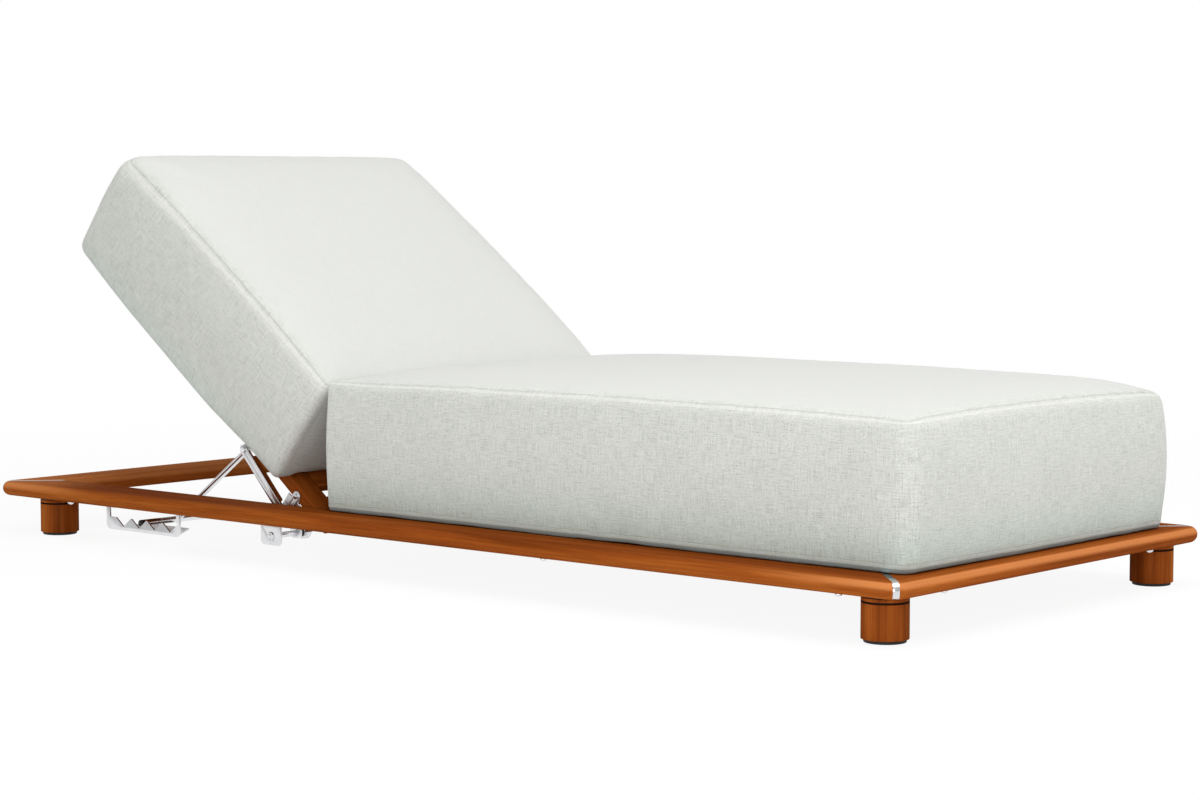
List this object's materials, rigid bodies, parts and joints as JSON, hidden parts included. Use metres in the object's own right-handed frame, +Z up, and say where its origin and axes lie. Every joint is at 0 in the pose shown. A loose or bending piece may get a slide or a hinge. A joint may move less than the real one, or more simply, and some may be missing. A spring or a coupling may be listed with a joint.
{
  "type": "spa relaxation lounger",
  "caption": "Low teak-framed spa lounger with round legs, steel mitre inlays, thick cushions and a back that tilts on a bail and notched racks.",
  "frame": {"origin": "on the floor, under the middle of the frame", "axes": "+X towards the foot end, +Y towards the far side, +Z up; the pictured near side is -Y"},
  "size_m": [2.1, 0.893, 0.7271],
  "materials": {
    "teak": "oiled teak, satin, with fine straight grain",
    "teak_leg": "oiled teak, satin, darker in tone",
    "steel": "polished stainless steel",
    "black_plastic": "matte black plastic",
    "rubber": "matte black rubber",
    "cloth": "pale grey melange weave with thin welted seams"
  },
  "bodies": {
    "base": {"side_rail_near": "teak", "side_rail_far": "teak", "foot_rail": "teak", "head_rail": "teak", "corner_inlays": "steel", "leg_foot_near": "teak_leg", "leg_foot_far": "teak_leg", "leg_head_near": "teak_leg", "leg_head_far": "teak_leg", "leg_spacers": "black_plastic", "leg_screws": "steel", "leg_glides": "rubber", "rail_cap_screws": "steel", "slat_ledgers": "teak", "seat_slats": "teak", "seat_cross_rail": "teak", "rack_near": "steel", "rack_far": "steel", "rack_screws": "steel", "hinge_bracket_near": "steel", "hinge_bracket_far": "steel", "bracket_screws": "steel", "hinge_bolt_near": "steel", "hinge_bolt_far": "steel", "hinge_nuts": "steel", "seat_cushion": "cloth"},
    "back": {"back_stile_near": "teak", "back_stile_far": "teak", "back_bottom_rail": "teak", "back_top_rail": "teak", "back_slats": "teak", "arm_near": "steel", "arm_far": "steel", "hinge_bushes": "black_plastic", "arm_batten_near": "teak", "arm_batten_far": "teak", "heel_plate_near": "steel", "heel_plate_far": "steel", "knuckle_ears": "steel", "arm_bolts": "steel", "knuckle_pins": "steel"},
    "bail": {"bail": "steel", "bail_end_caps": "black_plastic"},
    "back_cushion": {"back_cushion": "cloth"}
  },
  "joints": [
    {"name": "back_hinge", "type": "hinge", "parent": "base", "child": "back", "pos_m": [-0.306, 0, 0.05], "axis": [0, 1, 0], "range_deg": [-38, 17]},
    {"name": "bail_swing", "type": "hinge", "parent": "back", "child": "bail", "pos_m": [-0.46659, 0, 0.18764], "axis": [0, 1, 0], "range_deg": [-32, 70]},
    {"name": "back_cushion_slide", "type": "slide", "parent": "back", "child": "back_cushion", "axis": [-0.788, 0, 0.6157], "range_m": [-0.1811, 0.0811]}
  ],
  "couplings": [
    {"joint": "bail_swing", "follows": "back_hinge", "ratio": -1.83},
    {"joint": "back_cushion_slide", "follows": "back_hinge", "m_per_rad": 0.2727}
  ]
}
